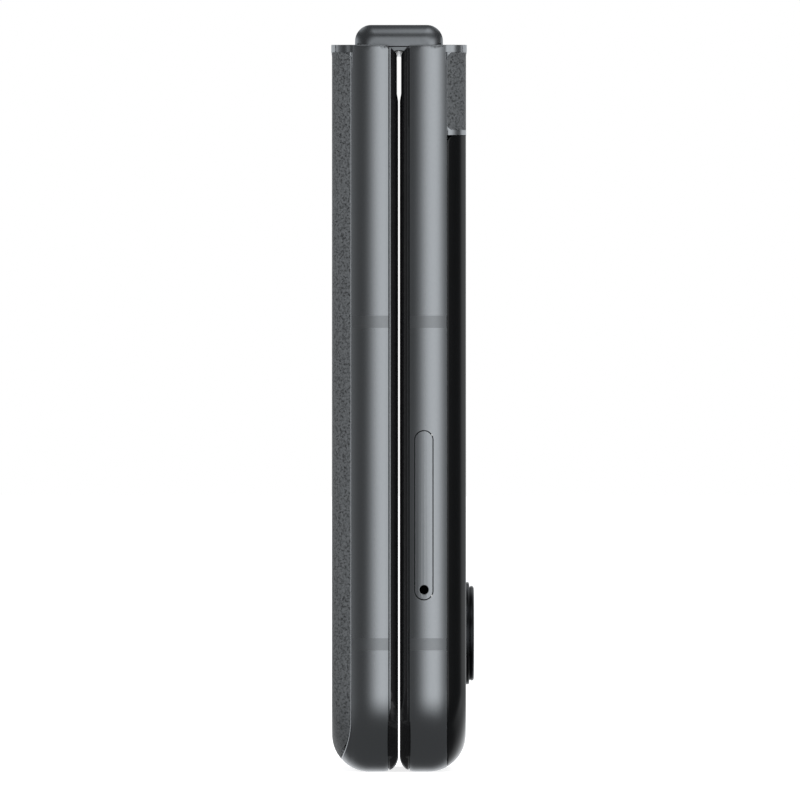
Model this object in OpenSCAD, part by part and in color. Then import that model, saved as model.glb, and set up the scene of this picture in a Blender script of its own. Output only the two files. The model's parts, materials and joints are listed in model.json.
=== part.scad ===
// Foldable smartphone, closed and standing on its free ends, hinge spine on top.
// X is the width, Y the thickness, Z the length. The gap between the halves is y = 0.
// The lower half lies on +Y and carries the full leather back.
// The flip half lies on -Y and carries the cover glass and the cameras.

/* [Body] */
// Width across the side rails
body_w = 73.99; // [68:0.5:80]
// Length of a half, from its free end to its hinge end
half_l = 85.73; // [80:0.5:95]
// Distance from the gap plane to the back of a half
half_t = 7.9; // [7.6:0.1:9]
// Gap from a bezel to the middle plane
bezel_gap = 0.1; // [0.08:0.01:0.2]
// Thickness of the soft bezel
bezel_t = 1.05; // [0.9:0.05:1.2]
// Depth of the metal side rail
rail_t = 4.4; // [4.2:0.1:4.6]
// Wall of the metal side rail
rail_wall = 1.25; // [1.1:0.05:1.5]
// Radius of the face corners at the free end
corner_r = 10; // [7:0.5:12]
// Radius of the face corners at the hinge end
hinge_corner_r = 0.9; // [0.5:0.1:1.5]
// Radius of the back edge along the sides
side_edge_r = 2.6; // [2:0.1:3]
// Radius of the back edge at the free end
end_edge_r = 4.4; // [3.5:0.1:5]
// Radius of the front edge at the free end
front_edge_r = 1.8; // [1.2:0.1:2]
// Thickness of the leather skin
leather_t = 0.45; // [0.3:0.05:0.5]
// Thickness of the tray under the leather
tray_t = 0.4; // [0.3:0.05:0.5]
// Height of the metal lip at the hinge end
lip_h = 0.88; // [0.6:0.02:1.2]
// How far the lip stands proud of the leather
lip_proud = 0.1; // [0.05:0.01:0.2]

/* [Hinge] */
// Distance of each hinge axis from the gap plane
axis_y = 2.25; // [2.2:0.01:2.3]
// Seam between the two halves when open
open_seam = 0.14; // [0.1:0.02:0.3]
// Half width of the spine's dome
spine_hw = 5.18; // [5:0.02:5.3]
// Height of the dome above the half ends
spine_rise = 2.35; // [2.2:0.05:2.4]
// Corner radius of the dome
spine_r = 1.9; // [1.5:0.1:2.2]
// Wall of the spine cover
spine_wall = 0.6; // [0.5:0.05:0.7]
// Diameter of the hinge pins
pin_d = 0.8; // [0.6:0.05:0.9]
// Diameter of the hinge barrels
barrel_d = 1.56; // [1.4:0.02:1.6]
// Radial clearance of the pins in the arms
pin_clear = 0.03; // [0.02:0.01:0.05]
// Gear module
gear_m = 0.2; // [0.2]
// Teeth that a full arm gear would have
arm_teeth = 22; // [22]
// Teeth on an idler
idler_teeth = 8; // [8]
// Inner radius of the display's fold
fold_r = 1.0; // [0.9:0.05:1]

/* [Display] */
// Distance of the display surface from the gap plane
display_y = 0.45; // [0.4:0.01:0.5]
// Thickness of the folding display
display_t = 0.35; // [0.3:0.01:0.4]
// Width of the bezel around the display
bezel_w = 2.3; // [2:0.1:3]
// Length of bending display below the hinge axes
fold_run = 6.05; // [5.5:0.05:7]
// Inner camera diameter
punch_d = 4.2; // [3.5:0.1:5]

/* [Cover] */
// Lower edge of the leather strip on the flip half
strip_z = 75.65; // [70:0.05:78]
// Height of the metal bar under the strip
bar_h = 0.55; // [0.4:0.05:1]
// Thickness of the cover glass
glass_t = 0.6; // [0.5:0.05:0.8]
// Gap between the rail and the cover glass
glass_gap = 0.12; // [0.05:0.01:0.2]
// Camera ring diameter
ring_d = 12.1; // [10:0.1:13]
// Height of the camera centres
cam_z = 16.08; // [14:0.1:20]
// Place of the first camera along the width
cam_x = 24.5; // [20:0.5:26]
// Distance between the cameras
cam_pitch = 15.5; // [14:0.5:17]
// Height of the base ring above the glass
ring_base_h = 0.45; // [0.3:0.05:0.6]
// Height of the upper ring above the base ring
ring_top_h = 0.58; // [0.4:0.02:0.8]

/* [Side details] */
// Antenna band width
band_w = 1.45; // [1:0.05:2]
// Height of the upper antenna band
band_hi = 53.1; // [50:0.1:56]
// Height of the lower antenna band
band_lo = 15.1; // [14.5:0.1:15.5]
// SIM tray length
sim_l = 19.9; // [18:0.1:22]
// SIM tray width
sim_w = 2.1; // [1.9:0.1:2.3]
// Height of the SIM tray's centre
sim_z = 30.3; // [29:0.1:33]
// Distance of the SIM tray and keys from the gap plane
side_y = 2.94; // [2.9:0.01:3]
// Eject hole diameter
eject_d = 1.05; // [0.8:0.05:1.2]
// Clearance round the SIM tray and the keys
slot_clear = 0.08; // [0.05:0.01:0.12]
// Power key length
power_l = 12; // [9:0.5:13]
// Height of the power key's centre
power_z = 44.5; // [42:0.5:45]
// Volume key length
volume_l = 17; // [14:0.5:18]
// Height of the volume key's centre
volume_z = 27; // [26:0.5:28]
// Key width
key_w = 1.9; // [1.6:0.1:2.1]
// How far a key stands proud
key_proud = 0.4; // [0.3:0.05:0.5]
// Key travel
key_travel = 0.25; // [0.2:0.05:0.3]

/* [Hidden] */
$fn = 48;
eps = 0.01;
big = 200;

half_w = body_w / 2;
// Height of the hinge axes: the half ends meet at the seam when both have turned 90 degrees
axis_z = half_l + open_seam / 2 - axis_y;
// Height where the display leaves its backing plate
fold_start = axis_z - fold_run;
rail_y0 = bezel_gap + bezel_t + 0.1;
rail_y1 = rail_y0 + rail_t;
inner_w = half_w - rail_wall;
end_wall = rail_wall;
plate_y0 = display_y + display_t + 0.05;
plate_t = 0.25;
deck_y0 = plate_y0 + plate_t + 0.05;
deck_t = 0.5;
bay_y0 = deck_y0 + deck_t + 0.05;
back_in = half_t - leather_t - tray_t;
// Room round each axis that a turning half leaves for the spine
room_r = back_in - axis_y - 0.02;
shoulder_r = room_r - 0.1;
deck_top = axis_z - room_r - 0.1;
spine_x = inner_w - 0.12;
lip_z = half_l - lip_h;
end_round = axis_y + open_seam / 2 - 0.09;
bezel_edge_r = 0.9;
seam_bow_z = 6.2;
seam_bow_r = 10.3;

// Outline of a half seen from the side: +Y is the back, free end at z = 0
module side_profile(back, inset = 0) {
    difference() {
        translate([bezel_gap, inset]) square([back - bezel_gap, half_l - inset]);
        translate([bezel_gap - eps, inset - eps]) corner_cut(front_edge_r + eps);
        translate([back + eps, inset - eps]) mirror([1, 0]) corner_cut(end_edge_r - inset + eps);
    }
}
// What a quarter round leaves of a square corner at the origin
module corner_cut(r) {
    difference() {
        square(r);
        translate([r, r]) circle(r - eps, $fn = 96);
    }
}
// Outline of a half seen from the hinge end: width along X, +Y is the back
module end_profile(back, inset = 0) {
    w = half_w - inset;
    difference() {
        translate([-w, bezel_gap]) square([2 * w, back - bezel_gap]);
        for (s = [0, 1]) mirror([s, 0]) {
            translate([w + eps, back + eps]) rotate(180) corner_cut(side_edge_r - inset + eps);
            translate([w + eps, bezel_gap - eps]) mirror([1, 0]) corner_cut(bezel_edge_r + eps);
        }
    }
}
// Face outline: width along X, free end at the bottom
module face_profile(inset = 0) {
    w = half_w - inset;
    difference() {
        translate([-w, inset]) square([2 * w, half_l - inset]);
        for (s = [0, 1]) mirror([s, 0]) {
            translate([w + eps, inset - eps]) mirror([1, 0]) corner_cut(corner_r - inset + eps);
            translate([w + eps, half_l + eps]) rotate(180) corner_cut(hinge_corner_r + eps);
        }
    }
}
// Whole outer shape of a half, pulled in by inset behind the given back plane
module envelope(back = half_t, inset = 0) {
    intersection() {
        rotate([90, 0, 90]) translate([0, 0, -big / 2])
            linear_extrude(big) side_profile(back, inset);
        linear_extrude(big) end_profile(back, inset);
        rotate([90, 0, 0]) translate([0, 0, -big / 2])
            linear_extrude(big) face_profile(inset);
    }
}
// Face outline, pulled in by inset and open at the hinge end, pushed from y0 to y1
module face_block(inset, y0, y1, top = half_l + 1) {
    translate([0, y1, 0]) rotate([90, 0, 0]) linear_extrude(y1 - y0) intersection() {
        union() {
            face_profile(inset);
            translate([inset - half_w, half_l / 2]) square([body_w - 2 * inset, half_l]);
        }
        translate([-half_w, 0]) square([body_w, top]);
    }
}
// Slab of the half between two distances from the gap plane
module slab(y0, y1, z0 = -1, z1 = big) {
    translate([-big / 2, y0, z0]) cube([big, y1 - y0, z1 - z0]);
}
// Box from its lowest to its highest corner
module span(a, b) {
    translate(a) cube(b - a);
}
// Sketch of Y and Z pushed from x0 to x1
module along_x(x0, x1) {
    translate([x0, 0, 0]) rotate([90, 0, 90]) linear_extrude(x1 - x0) children();
}
// Round bar along X
module bar_x(x0, x1, y, z, r, fn = 32) {
    translate([x0, y, z]) rotate([0, 90, 0]) cylinder(r = r, h = x1 - x0, $fn = fn);
}
// Round bar along Y
module bar_y(x, z, y0, y1, r, fn = 32) {
    translate([x, y0, z]) rotate([-90, 0, 0]) cylinder(r = r, h = y1 - y0, $fn = fn);
}
// Slot with round ends along Z, pushed along X
module slot_x(x0, x1, y, z, l, w) {
    translate([x0, 0, 0]) rotate([90, 0, 90]) linear_extrude(x1 - x0) {
        translate([y - w / 2, z - l / 2 + w / 2]) square([w, l - w]);
        translate([y, z - l / 2 + w / 2]) circle(w / 2);
        translate([y, z + l / 2 - w / 2]) circle(w / 2);
    }
}
// Room for the turning spine at the hinge end
module spine_room() {
    bar_x(-inner_w, inner_w, axis_y, axis_z, room_r, 96);
    span([-inner_w, -1, axis_z], [inner_w, axis_y + half_l + spine_rise - axis_z + 0.08, half_l + 1]);
}
// Sketch in the plane of Y and Z pushed across the whole width
module across() {
    rotate([90, 0, 90]) translate([0, 0, -big / 2]) linear_extrude(big) children();
}
// Part of the side view outside y0 and between two heights, with round inner corners
module zone(y0, z0, z1, r) {
    difference() {
        translate([y0, z0]) square([20, z1 - z0]);
        translate([y0 - eps, z0 - eps]) corner_cut(r + eps);
        translate([y0 - eps, z1 + eps]) mirror([0, 1]) corner_cut(r + eps);
    }
}
// Part of the side view that the leather back fills: its seam bows out at the free end
module leather_zone(grow = 0) {
    difference() {
        translate([rail_y1 - grow, 0]) square([20, lip_z + grow]);
        translate([rail_y1 - grow - eps, lip_z + grow + eps]) mirror([0, 1]) corner_cut(0.9);
        difference() {
            translate([rail_y1 - 1, -1]) square([21, seam_bow_z + 1]);
            translate([rail_y1 + seam_bow_r, seam_bow_z]) circle(seam_bow_r + grow, $fn = 128);
        }
    }
}
// Corner of a half that would strike its twin on the way open
module hinge_corner() {
    across() difference() {
        translate([-1, axis_z]) square([axis_y + 1, half_l - axis_z + 1]);
        translate([axis_y, axis_z]) circle(end_round, $fn = 96);
    }
}

// ---- Pieces that both halves share, written on the +Y side ----

// Metal rails, free end and deck of a half, before its own openings
module half_frame() {
    difference() {
        union() {
            difference() {
                intersection() {
                    envelope();
                    slab(rail_y0, rail_y1 + 2);
                }
                face_block(rail_wall, rail_y0 - 1, rail_y1 + 3);
                children();
            }
            intersection() {
                translate([0, 0, lip_z]) linear_extrude(lip_h)
                    end_profile(half_t + lip_proud, -lip_proud);
                slab(rail_y1, half_t + 1);
                translate([0, 0, half_l]) rotate([90, 0, 0]) translate([0, 0, -big / 2])
                    linear_extrude(big) lip_outline();
            }
            face_block(rail_wall - eps, deck_y0, deck_y0 + deck_t, deck_top);
        }
        spine_room();
        hinge_corner();
        band_slots();
    }
}
// The lip's ends follow the face's corners at the hinge end
module lip_outline() {
    w = half_w + lip_proud;
    difference() {
        translate([-w, -5]) square([2 * w, 5]);
        for (s = [0, 1]) mirror([s, 0])
            translate([w + eps, eps]) rotate(180) corner_cut(0.5 + eps);
    }
}
// Four slots in the side rails that the antenna bands fill
module band_slots() {
    for (z = [band_lo, band_hi], s = [0, 1]) mirror([s, 0, 0])
        span([inner_w - eps, rail_y0 - 1, z - band_w / 2], [half_w + 1, rail_y1, z + band_w / 2]);
}
// Antenna bands of a half
module half_bands() {
    intersection() {
        envelope();
        for (z = [band_lo, band_hi], s = [0, 1]) mirror([s, 0, 0])
            span([inner_w, rail_y0, z - band_w / 2], [half_w, rail_y1 - 0.02, z + band_w / 2]);
    }
}
// Soft rim round the display of a half, on three sides
module half_bezel() {
    difference() {
        intersection() {
            envelope();
            slab(bezel_gap, bezel_gap + bezel_t);
        }
        face_block(bezel_w, -1, 3);
        hinge_corner();
    }
}
// Steel plate that the display lies on
module half_plate() {
    face_block(half_w - panel_w, plate_y0, plate_y0 + plate_t, fold_start);
}
// Flat part of the folding display
module half_panel() {
    face_block(half_w - panel_w, display_y, display_y + display_t, fold_start);
}
panel_w = half_w - bezel_w - 0.1;

// Gear along X with a bore: count teeth from an angle on, and the body that carries them
module gear(teeth, x0, x1, bore_r, first = 0, count = 0) {
    r = gear_m * teeth / 2;
    root = r - 1.1 * gear_m;
    tip = r + 0.8 * gear_m;
    step = 360 / teeth;
    n = count > 0 ? count : teeth;
    along_x(x0, x1) difference() {
        union() {
            if (n == teeth) circle(root);
            else intersection() {
                circle(root);
                sector(root * 1.5, first - step / 2, first + (n - 0.5) * step);
            }
            for (i = [0:n - 1]) rotate(first + i * step) polygon([
                [root - 0.1, -0.62 * gear_m], [root, -0.72 * gear_m], [r, -0.62 * gear_m],
                [tip, -0.3 * gear_m], [tip, 0.3 * gear_m], [r, 0.62 * gear_m],
                [root, 0.72 * gear_m], [root - 0.1, 0.62 * gear_m]]);
        }
        circle(bore_r);
    }
}
// Wedge between two angles, no wider than 180 degrees
module sector(r, from, to) {
    mid = (from + to) / 2;
    polygon([[0, 0], r * [cos(from), sin(from)], 1.4 * r * [cos(mid), sin(mid)],
        r * [cos(to), sin(to)]]);
}

// ---- Hinge ----
// Outer cheek of each hinge, counted from the spine's end
hinge_from_end = 13.625;
hinge_x0 = spine_x - hinge_from_end;
cheek_w = 2;
arm_x0 = hinge_x0 + cheek_w + 0.1;
arm_x1 = arm_x0 + 3.9;
washer_t = 0.28;
washer_count = 3;
cheek2_x = arm_x1 + washer_count * (washer_t + 0.02) + 0.1;
hinge_x1 = cheek2_x + cheek_w;
gear_w = 1.6;
pin_r = pin_d / 2;
barrel_r = barrel_d / 2;
arm_gear_r = gear_m * arm_teeth / 2;
idler_r = gear_m * idler_teeth / 2;
idler_pin_r = 0.3;
idler_y = idler_r;
idler_z = axis_z + sqrt(pow(arm_gear_r + idler_r, 2) - pow(axis_y - idler_y, 2));
mesh_angle = atan2(idler_z - axis_z, idler_y - axis_y);
arm_step = 360 / arm_teeth;
idler_step = 360 / idler_teeth;
sector_teeth = 7;
leg_y0 = deck_y0 + deck_t;
leg_t = 1.2;
foot_z0 = deck_top - 7;
foot_t = 1.0;
screw_r = 0.6;
screw_head_r = 1.0;
screw_head_t = 0.45;
foot_screws = [[hinge_x0 + 1.2, foot_z0 + 1.6], [hinge_x1 - 1.2, foot_z0 + 1.6],
    [(hinge_x0 + hinge_x1) / 2, foot_z0 + 4.4]];

// Two copies, one at each end of the hinge
module both_ends() {
    for (s = [0, 1]) mirror([s, 0, 0]) children();
}
// Hinge arms of a half: foot on the deck, leg, barrel on the pin and gear sector
module hinge_arms(gear_shift, phase) {
    both_ends() difference() {
        union() {
            span([hinge_x0, leg_y0, foot_z0], [hinge_x1, leg_y0 + foot_t, deck_top]);
            span([arm_x0, leg_y0, deck_top - 1], [arm_x1, leg_y0 + leg_t, axis_z]);
            bar_x(arm_x0, arm_x1, axis_y, axis_z, barrel_r);
            translate([0, axis_y, axis_z])
                gear(arm_teeth, arm_x0 + gear_shift, arm_x0 + gear_shift + gear_w, pin_r,
                    mesh_angle - (sector_teeth - 1) * arm_step + phase, sector_teeth);
        }
        bar_x(arm_x0 - 1, arm_x1 + 1, axis_y, axis_z, pin_r + pin_clear);
        for (p = foot_screws) bar_y(p[0], p[1], leg_y0 - 1, leg_y0 + foot_t + 1, screw_r + 0.02);
    }
}
// Screws that hold the arm feet on the deck
module arm_screws() {
    both_ends() for (p = foot_screws) {
        bar_y(p[0], p[1], deck_y0 + 0.05, leg_y0 + foot_t, screw_r);
        bar_y(p[0], p[1], leg_y0 + foot_t, leg_y0 + foot_t + screw_head_t, screw_head_r);
    }
}
module arm_screw_holes() {
    both_ends() for (p = foot_screws) bar_y(p[0], p[1], deck_y0 - 1, leg_y0 + 1, screw_r + 0.01);
}
module lower_hinge_arms() {
    color("#70757a") hinge_arms(0.1, 0);
}
module flip_hinge_arms() {
    color("#70757a") mirror([0, 1, 0]) hinge_arms(gear_w + 0.4, -arm_step / 2);
}
module lower_hinge_screws() {
    color("#9a9ea2") arm_screws();
}
module flip_hinge_screws() {
    color("#9a9ea2") mirror([0, 1, 0]) arm_screws();
}

spine_top = half_l + spine_rise;
spine_z0 = axis_z + 0.95;
shoulder_z = half_l - 0.12;
cap_t = 0.9;
fold_n = fold_r + display_t / 2;
neck_n = display_y + display_t / 2;
bend_h = 4;
bend_angle = 2 * atan((fold_n - neck_n) / bend_h);
bend_r = bend_h / (2 * sin(bend_angle));
// The strip lies flat when open, so its length from the plate to the crown is fixed
bend_len = 2 * bend_r * bend_angle * PI / 180;
fold_c = half_l + open_seam / 2 - bend_len - fold_n * PI / 2 + bend_h;
fold_out = fold_r + display_t;
// Section of the spine, pulled in by inset
module spine_section(inset = 0) {
    r = spine_r - inset;
    difference() {
        union() {
            translate([-spine_hw + inset, axis_z]) square([2 * (spine_hw - inset),
                spine_top - inset - axis_z]);
            for (s = [-1, 1]) intersection() {
                translate([s * axis_y, axis_z]) circle(shoulder_r - inset, $fn = 96);
                translate([-20, axis_z]) square([40, shoulder_z - inset - axis_z]);
            }
        }
        for (s = [0, 1]) mirror([s, 0])
            translate([spine_hw - inset + eps, spine_top - inset + eps])
                rotate(180) corner_cut(r + eps);
        translate([-20, axis_z - 1]) square([40, spine_z0 - axis_z + 1]);
    }
}
module spine_cover() {
    color("#4a4d50") difference() {
        along_x(-spine_x + cap_t, spine_x - cap_t) difference() {
            spine_section();
            spine_section(spine_wall);
            translate([-spine_hw + spine_wall, spine_z0 - 1])
                square([2 * (spine_hw - spine_wall), shoulder_z - spine_z0]);
        }
        cover_screw_holes();
    }
}
module spine_end_caps() {
    color("#3c3f42") both_ends() along_x(spine_x - cap_t + 0.01, spine_x) difference() {
        union() {
            spine_section();
            translate([-3, spine_z0]) square([6, 1.5]);
        }
        for (s = [-1, 1]) translate([s * axis_y, axis_z]) circle(end_round + 0.04);
        translate([-slit, spine_z0 - 1]) square([2 * slit, fold_c + fold_r + 0.05 - spine_z0 + 1]);
    }
}
slit = 0.27;
block_hw = 3.0;
roof_z = spine_top - spine_wall - 0.25;
block_top = spine_top - spine_wall - 0.02;
tab_x = hinge_x1 + 1.2;
// Block that holds the pins under the cover
module hinge_base_blocks() {
    color("#5a5e62") both_ends() difference() {
        union() {
            span([hinge_x0, -block_hw, roof_z], [tab_x + 1.2, block_hw, block_top]);
            for (x = [hinge_x0, cheek2_x]) {
                span([x, -block_hw, fold_c + fold_out + 0.4], [x + cheek_w, block_hw, roof_z + eps]);
                for (s = [-1, 1]) {
                    bar_x(x, x + cheek_w, s * axis_y, axis_z, barrel_r);
                    span([x, s * axis_y - barrel_r, axis_z],
                        [x + cheek_w, s * axis_y + barrel_r, roof_z + eps]);
                }
            }
            span([hinge_x1 - eps, -1.4, roof_z - 0.3], [tab_x + 1.2, 1.4, block_top]);
        }
        for (s = [-1, 1]) {
            bar_x(hinge_x0 - 1, hinge_x1 + 1, s * axis_y, axis_z, pin_r + 0.01);
            bar_x(hinge_x0 - 1, hinge_x1 + 1, s * idler_y, idler_z, idler_pin_r + 0.01);
        }
        translate([tab_x, 0, roof_z - 1]) cylinder(r = spine_screw_r + 0.01, h = 3);
    }
}
spine_screw_r = 0.4;
module cover_screw_holes() {
    both_ends() translate([tab_x, 0, roof_z]) cylinder(r = spine_screw_r + 0.01,
        h = spine_top - 0.25 - roof_z);
}
module spine_screws() {
    color("#9a9ea2") both_ends() translate([tab_x, 0, 0]) {
        translate([0, 0, roof_z - 0.3 - screw_head_t]) cylinder(r = 0.8, h = screw_head_t);
        translate([0, 0, roof_z - 0.3]) cylinder(r = spine_screw_r,
            h = spine_top - 0.3 - roof_z + 0.3);
    }
}
module hinge_pins() {
    color("#b5b8bb") both_ends() for (s = [-1, 1])
        bar_x(hinge_x0, hinge_x1, s * axis_y, axis_z, pin_r);
}
module friction_washers() {
    color("#8a8d90") both_ends() for (s = [-1, 1], i = [0:washer_count - 1]) {
        x = arm_x1 + 0.04 + i * (washer_t + 0.02);
        difference() {
            bar_x(x, x + washer_t, s * axis_y, axis_z, barrel_r);
            bar_x(x - 1, x + washer_t + 1, s * axis_y, axis_z, pin_r + 0.01);
        }
    }
}
module idler_pins() {
    color("#b5b8bb") both_ends() for (s = [-1, 1])
        bar_x(hinge_x0, hinge_x1, s * idler_y, idler_z, idler_pin_r);
}
module idler(side, phase) {
    both_ends() translate([0, side * idler_y, idler_z]) rotate([phase, 0, 0])
        gear(idler_teeth, arm_x0 + 0.05, arm_x0 + 2 * gear_w + 0.55, idler_pin_r + pin_clear);
}
module idler_gears_a() {
    color("#a39a7c") idler(1, mesh_angle + 180 + idler_step / 2);
}
module idler_gears_b() {
    color("#a39a7c") idler(-1, -mesh_angle);
}
// Folding strip of the display: straight necks, two easy bends a side and a round loop
module display_fold() {
    color("#101215") along_x(-panel_w, panel_w) {
        for (s = [0, 1]) mirror([s, 0]) {
            translate([display_y, fold_start]) square([display_t, fold_c - bend_h - fold_start]);
            translate([neck_n + bend_r, fold_c - bend_h])
                arc_strip(bend_r, 180 - bend_angle, 180);
            translate([fold_n - bend_r, fold_c]) arc_strip(bend_r, -bend_angle, 0);
        }
        translate([0, fold_c]) intersection() {
            ring(fold_n);
            translate([-3, 0]) square([6, 3]);
        }
    }
}
module ring(r) {
    difference() {
        circle(r + display_t / 2, $fn = 96);
        circle(r - display_t / 2, $fn = 96);
    }
}
module arc_strip(r, from, to) {
    intersection() {
        ring(r);
        sector(r + 2, from, to);
    }
}

// ---- Lower half ----
usb_w = 9.0;
usb_h = 3.2;
usb_y = 3.45;
port_clear = 0.1;
usb_depth = 7.2;
speaker_holes = 6;
speaker_x = 14;
hole_pitch = 2.1;
hole_r = 0.6;
mic_x = -12;
// Slot with round ends along X, pushed along Z
module slot_z(z0, z1, x, y, l, w) {
    translate([x, y, z0]) linear_extrude(z1 - z0) {
        translate([-l / 2 + w / 2, -w / 2]) square([l - w, w]);
        for (s = [-1, 1]) translate([s * (l - w) / 2, 0]) circle(w / 2);
    }
}
module lower_frame() {
    color("#5c6266") difference() {
        half_frame() across() leather_zone();
        slot_z(-1, end_wall + 1, 0, usb_y, usb_w + 2 * port_clear, usb_h + 2 * port_clear);
        for (i = [0:speaker_holes - 1]) translate([speaker_x + i * hole_pitch, usb_y, -1])
            cylinder(r = hole_r, h = end_wall + 2);
        translate([mic_x, usb_y, -1]) cylinder(r = 0.5, h = end_wall + 2);
        arm_screw_holes();
    }
}
module lower_antenna_bands() {
    color("#4c5155") half_bands();
}
module back_shell(outer, inner) {
    intersection() {
        difference() {
            envelope(half_t - outer, outer);
            envelope(half_t - inner, inner);
            spine_room();
        }
        across() leather_zone(-0.02);
    }
}
module leather_back() {
    color("#54585a") back_shell(0, leather_t);
}
module back_tray() {
    color("#26282a") back_shell(leather_t, leather_t + tray_t);
}
module lower_bezel() {
    color("#17181a") bezel_cut() half_bezel();
}
// The rim thins towards the hinge, where a slit opens
module bezel_cut() {
    difference() {
        children();
        across() polygon([[-1, slit_z], [bezel_gap, slit_z], [slit - 0.02, slit_z + 0.9],
            [slit - 0.02, half_l + 1], [-1, half_l + 1]]);
    }
}
slit_z = 79.1;
module lower_display_plate() {
    color("#85898c") half_plate();
}
module lower_display_panel() {
    color("#101215") half_panel();
}
cell_y0 = bay_y0 + 0.1;
cell_y1 = back_in - 0.35;
// Cells, boards and lids keep their distance from the side walls and the hinge
inner_part_gap = 4.745;
part_x = inner_w - inner_part_gap;
cell_z0 = 16.5;
cell_hinge_gap = 12.67;
cell_z1 = deck_top - cell_hinge_gap;
module lower_battery() {
    color("#2b2d30") rounded_box([-part_x, cell_y0, cell_z0], [part_x, cell_y1, cell_z1], 1.2);
}
// Box with round edges along Y
module rounded_box(a, b, r) {
    translate([0, b[1], 0]) rotate([90, 0, 0]) linear_extrude(b[1] - a[1]) {
        translate([a[0] + r, a[2]]) square([b[0] - a[0] - 2 * r, b[2] - a[2]]);
        translate([a[0], a[2] + r]) square([b[0] - a[0], b[2] - a[2] - 2 * r]);
        for (x = [a[0] + r, b[0] - r], z = [a[2] + r, b[2] - r]) translate([x, z]) circle(r);
    }
}
module usb_board() {
    color("#1f4a35") difference() {
        face_block(rail_wall + 0.3, bay_y0, bay_y0 + 0.4, 15.5);
        for (x = [-28, 28]) bar_y(x, 11.5, 0, 5, 0.8);
        span([-usb_w / 2 - 0.15, 0, 0], [usb_w / 2 + 0.15, 9, usb_depth + 0.95]);
    }
}
module usb_port_shell() {
    color("#a5a8aa") difference() {
        slot_z(0.75, usb_depth + 0.75, 0, usb_y, usb_w, usb_h);
        slot_z(0, usb_depth + 0.35, 0, usb_y, usb_w - 0.5, usb_h - 0.5);
    }
}
module usb_tongue() {
    color("#1c1d1f") span([-3.3, usb_y - 0.35, 1.6], [3.3, usb_y + 0.35, usb_depth + 0.35]);
}
module loudspeaker() {
    color("#303336") rounded_box([speaker_x - 3, bay_y0 + 0.5, 2.1],
        [speaker_x + 15.5, bay_y0 + 3.8, 13.5], 1.2);
}
module vibration_motor() {
    color("#8e9295") bar_y(-20, 8.5, bay_y0 + 0.5, bay_y0 + 3.6, 4.5, 48);
}
module lower_microphone() {
    color("#b0a374") span([mic_x - 1.5, bay_y0 + 0.42, 2.0], [mic_x + 1.3, bay_y0 + 1.6, 5.4]);
}

// ---- Flip half, written on the +Y side and mirrored ----
glass_y0 = rail_y1 + glass_gap;
glass_z1 = strip_z - bar_h - 0.05;
module flip_side() {
    mirror([0, 1, 0]) children();
}
module flip_frame() {
    color("#5c6266") difference() {
        flip_side() difference() {
            half_frame() slab(rail_y1, 20);
            arm_screw_holes();
            bar_y(0, punch_z, 0, 5, punch_d / 2 + 0.1);
        }
        slot_x(-half_w - 1, -inner_w + 1, -side_y, sim_z, sim_l + 2 * slot_clear,
            sim_w + 2 * slot_clear);
        slot_x(inner_w - 1, half_w + 1, -side_y, power_z, power_l + 2 * slot_clear,
            key_w + 2 * slot_clear);
        slot_x(inner_w - 1, half_w + 1, -side_y, volume_z, volume_l + 2 * slot_clear,
            key_w + 2 * slot_clear);
        translate([-20, -usb_y, -1]) cylinder(r = 0.5, h = end_wall + 2);
    }
}
module flip_antenna_bands() {
    color("#4c5155") flip_side() half_bands();
}
module cover_part(outer, inner, z0, z1, r) {
    flip_side() intersection() {
        difference() {
            envelope(half_t - outer, outer);
            envelope(half_t - inner, inner);
            spine_room();
        }
        across() zone(rail_y1 + 0.01, z0, z1, r);
    }
}
module leather_strip() {
    color("#54585a") cover_part(0, leather_t, strip_z + 0.03, lip_z - 0.02, 0.65);
}
module strip_tray() {
    color("#26282a") cover_part(leather_t, leather_t + tray_t, strip_z + 0.03, lip_z - 0.02, 0.3);
}
module divider_bar() {
    color("#5c6266") cover_part(0, leather_t + tray_t, strip_z - bar_h, strip_z, 0.1);
}
module cover_glass() {
    color("#0c0d0f") cover_part(0, glass_t, 0, glass_z1, 0.9);
}
module cover_display_panel() {
    color("#131519") flip_side() intersection() {
        span([-half_w + 3.4, half_t - glass_t - 0.62, 5.2], [half_w - 3.4, half_t - glass_t - 0.02,
            glass_z1 - 2]);
        difference() {
            slab(0, 20);
            for (i = [0, 1]) bar_y(cam_x - i * cam_pitch, cam_z, 0, 20, ring_d / 2 + 0.4);
            bar_y(flash_x, cam_z, 0, 20, 2);
        }
    }
}
flash_x = cam_x - 1.75 * cam_pitch;
module flip_bezel() {
    color("#17181a") flip_side() bezel_cut() half_bezel();
}
module flip_display_plate() {
    color("#85898c") flip_side() difference() {
        half_plate();
        bar_y(0, punch_z, 0, 5, punch_d / 2 + 0.1);
    }
}
module flip_display_panel() {
    color("#101215") flip_side() difference() {
        half_panel();
        bar_y(0, punch_z, 0, 5, punch_d / 2 + 0.1);
    }
}
punch_z = 7.2;
ring_r = ring_d / 2;
glass_in = half_t - glass_t;
// The two cameras, each child drawn at a camera's centre with +Y outwards
module cameras() {
    flip_side() for (i = [0, 1]) translate([cam_x - i * cam_pitch, 0, cam_z])
        rotate([-90, 0, 0]) children();
}
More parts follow.
